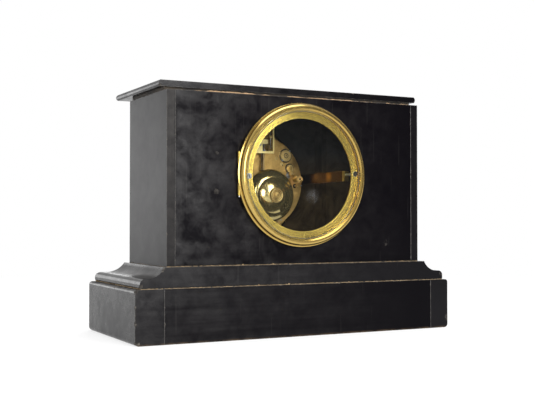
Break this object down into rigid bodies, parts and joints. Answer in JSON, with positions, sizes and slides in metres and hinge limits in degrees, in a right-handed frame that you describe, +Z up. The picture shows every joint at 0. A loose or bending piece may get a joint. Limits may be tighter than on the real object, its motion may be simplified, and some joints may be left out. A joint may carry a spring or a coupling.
{
  "type": "mantel clock",
  "caption": "Black slate mantel clock with a hinged glazed door at the back and the front, a bell-striking movement on two straps, and a pendulum inside.",
  "frame": {"origin": "middle of the base's footprint, on the surface it stands on (the middle of the whole clock's box lies 2 mm nearer the front)", "axes": "+X to the right seen from the front, +Y from the dial to the back, +Z up"},
  "size_m": [0.34, 0.151, 0.239],
  "materials": {
    "slate": "polished, worn, with chipped arrises",
    "plaster": "rough cast plaster",
    "bedding": "dull slate bedded in plaster",
    "glass": "clear, bevelled edge",
    "enamel": "fired enamel",
    "blued_steel": "blued, polished",
    "steel": "ground",
    "spring_steel": "tempered blue-grey",
    "brass": "aged, lightly tarnished",
    "bell_metal": "dull bell metal"
  },
  "bodies": {
    "clock_case": {"back_plate": "brass", "base_back_slab": "slate", "base_end_slabs": "slate", "base_front_slab": "slate", "bell": "bell_metal", "bell_stand": "brass", "case_back": "slate", "case_left_side": "slate", "case_right_side": "slate", "clicks_and_studs": "steel", "cornice_bed": "bedding", "dial": "enamel", "dial_block_cheeks": "slate", "dial_block_front": "slate", "front_plate": "brass", "front_ring": "brass", "pillars": "brass", "pins_and_screws": "steel", "plaster_fillets": "plaster", "plate_cocks_and_lugs": "brass", "plinth_moulding": "slate", "rear_ring": "brass", "straps": "brass", "suspension_bracket": "brass", "top_slab": "slate", "wing_fronts": "slate"},
    "rear_door": {"rear_door_bezel": "brass", "rear_door_glass": "glass", "rear_glass_retainer": "brass"},
    "front_door": {"front_door_bezel": "brass", "front_door_glass": "glass", "front_glass_retainer": "brass"},
    "minute_hand_group": {"centre_wheel": "brass", "cannon_pinion": "brass", "minute_hand": "blued_steel"},
    "hour_hand_group": {"hour_wheel": "brass", "hour_hand": "blued_steel"},
    "minute_wheel_group": {"minute_wheel": "brass"},
    "second_wheel_group": {"second_wheel": "brass"},
    "going_barrel_group": {"going_barrel": "brass", "going_mainspring": "spring_steel"},
    "third_wheel_group": {"third_wheel": "brass"},
    "escape_wheel_group": {"escape_wheel": "brass"},
    "going_winding_group": {"going_winding_arbor": "steel"},
    "strike_winding_group": {"strike_winding_arbor": "steel"},
    "strike_barrel_group": {"strike_barrel": "brass", "strike_mainspring": "spring_steel"},
    "strike_second_group": {"strike_second_wheel": "brass"},
    "pin_wheel_group": {"pin_wheel": "brass"},
    "locking_wheel_group": {"locking_wheel": "brass"},
    "warning_wheel_group": {"warning_wheel": "brass"},
    "fly_group": {"strike_fly": "brass"},
    "pendulum_group": {"suspension_spring": "spring_steel", "pendulum_rod": "steel", "pendulum_bob": "brass"},
    "rating_nut_group": {"rating_nut": "brass"},
    "anchor_group": {"anchor_and_crutch": "steel"},
    "hammer_group": {"hammer": "brass"},
    "rack_group": {"rack": "steel"},
    "lever_group": {"lifting_lever": "steel"}
  },
  "joints": [
    {"name": "rear_door_hinge", "type": "hinge", "parent": "clock_case", "child": "rear_door", "pos_m": [0.067, 0.0652, 0.1543], "axis": [0, 0, -1], "range_deg": [0, 110]},
    {"name": "front_door_hinge", "type": "hinge", "parent": "clock_case", "child": "front_door", "pos_m": [-0.067, -0.0702, 0.1505], "axis": [0, 0, -1], "range_deg": [0, 110]},
    {"name": "minute_hand_turn", "type": "hinge", "parent": "clock_case", "child": "minute_hand_group", "pos_m": [0, -0.04, 0.1505], "axis": [0, 1, 0], "continuous": true},
    {"name": "hour_hand_turn", "type": "hinge", "parent": "clock_case", "child": "hour_hand_group", "pos_m": [0, -0.04, 0.1505], "axis": [0, 1, 0], "continuous": true},
    {"name": "minute_wheel_turn", "type": "hinge", "parent": "clock_case", "child": "minute_wheel_group", "pos_m": [0.00617, -0.04, 0.15785], "axis": [0, 1, 0], "continuous": true},
    {"name": "second_wheel_turn", "type": "hinge", "parent": "clock_case", "child": "second_wheel_group", "pos_m": [0.0149, -0.04, 0.15559], "axis": [0, 1, 0], "continuous": true},
    {"name": "going_barrel_turn", "type": "hinge", "parent": "clock_case", "child": "going_barrel_group", "pos_m": [0.02, -0.04, 0.1345], "axis": [0, 1, 0], "continuous": true},
    {"name": "third_wheel_turn", "type": "hinge", "parent": "clock_case", "child": "third_wheel_group", "pos_m": [-0.00126, -0.04, 0.16484], "axis": [0, 1, 0], "continuous": true},
    {"name": "escape_wheel_turn", "type": "hinge", "parent": "clock_case", "child": "escape_wheel_group", "pos_m": [0, -0.04, 0.17491], "axis": [0, 1, 0], "continuous": true},
    {"name": "locking_wheel_turn", "type": "hinge", "parent": "clock_case", "child": "locking_wheel_group", "pos_m": [-0.01859, -0.04, 0.17586], "axis": [0, 1, 0], "continuous": true},
    {"name": "pin_wheel_turn", "type": "hinge", "parent": "clock_case", "child": "pin_wheel_group", "pos_m": [-0.02495, -0.04, 0.17001], "axis": [0, 1, 0], "continuous": true},
    {"name": "strike_second_turn", "type": "hinge", "parent": "clock_case", "child": "strike_second_group", "pos_m": [-0.01849, -0.04, 0.15615], "axis": [0, 1, 0], "continuous": true},
    {"name": "strike_barrel_turn", "type": "hinge", "parent": "clock_case", "child": "strike_barrel_group", "pos_m": [-0.02, -0.04, 0.1345], "axis": [0, 1, 0], "continuous": true},
    {"name": "warning_wheel_turn", "type": "hinge", "parent": "clock_case", "child": "warning_wheel_group", "pos_m": [-0.02392, -0.04, 0.18123], "axis": [0, 1, 0], "continuous": true},
    {"name": "fly_turn", "type": "hinge", "parent": "clock_case", "child": "fly_group", "pos_m": [-0.0295, -0.04, 0.1792], "axis": [0, 1, 0], "continuous": true},
    {"name": "going_winding", "type": "hinge", "parent": "clock_case", "child": "going_winding_group", "pos_m": [0.02, -0.04, 0.1345], "axis": [0, 1, 0], "range_deg": [0, 1800]},
    {"name": "strike_winding", "type": "hinge", "parent": "clock_case", "child": "strike_winding_group", "pos_m": [-0.02, -0.04, 0.1345], "axis": [0, 1, 0], "range_deg": [0, 1980]},
    {"name": "pendulum_swing", "type": "hinge", "parent": "clock_case", "child": "pendulum_group", "pos_m": [0, -0.0183, 0.19], "axis": [0, 1, 0], "range_deg": [-3, 3]},
    {"name": "anchor_swing", "type": "hinge", "parent": "clock_case", "child": "anchor_group", "pos_m": [0, -0.04, 0.18751], "axis": [0, 1, 0], "range_deg": [-3.4, 3.4]},
    {"name": "rating_nut_turn", "type": "hinge", "parent": "pendulum_group", "child": "rating_nut_group", "pos_m": [0, -0.0183, 0.051], "axis": [0, 0, 1], "range_deg": [-720, 720]},
    {"name": "hammer_swing", "type": "hinge", "parent": "clock_case", "child": "hammer_group", "pos_m": [-0.0343, -0.04, 0.1658], "axis": [0, 1, 0], "range_deg": [-20, 14], "stiffness_Nm_per_rad": 0.01},
    {"name": "rack_swing", "type": "hinge", "parent": "clock_case", "child": "rack_group", "pos_m": [-0.027, -0.0665, 0.1705], "axis": [0, 1, 0], "range_deg": [0, 11]},
    {"name": "lifting_lever_swing", "type": "hinge", "parent": "clock_case", "child": "lever_group", "pos_m": [-0.038, -0.0645, 0.1365], "axis": [0, 1, 0], "range_deg": [-4, 0]}
  ],
  "couplings": [
    {"joint": "hour_hand_turn", "follows": "minute_hand_turn", "ratio": 0.083333},
    {"joint": "minute_wheel_turn", "follows": "minute_hand_turn", "ratio": -0.33333},
    {"joint": "second_wheel_turn", "follows": "minute_hand_turn", "ratio": -0.16667},
    {"joint": "going_barrel_turn", "follows": "minute_hand_turn", "ratio": 0.027778},
    {"joint": "third_wheel_turn", "follows": "minute_hand_turn", "ratio": -9},
    {"joint": "escape_wheel_turn", "follows": "minute_hand_turn", "ratio": 108},
    {"joint": "pin_wheel_turn", "follows": "locking_wheel_turn", "ratio": -0.125},
    {"joint": "strike_second_turn", "follows": "locking_wheel_turn", "ratio": 0.016667},
    {"joint": "strike_barrel_turn", "follows": "locking_wheel_turn", "ratio": -0.0027778},
    {"joint": "warning_wheel_turn", "follows": "locking_wheel_turn", "ratio": -8},
    {"joint": "fly_turn", "follows": "locking_wheel_turn", "ratio": 64},
    {"joint": "anchor_swing", "follows": "pendulum_swing", "ratio": 1.0704}
  ]
}
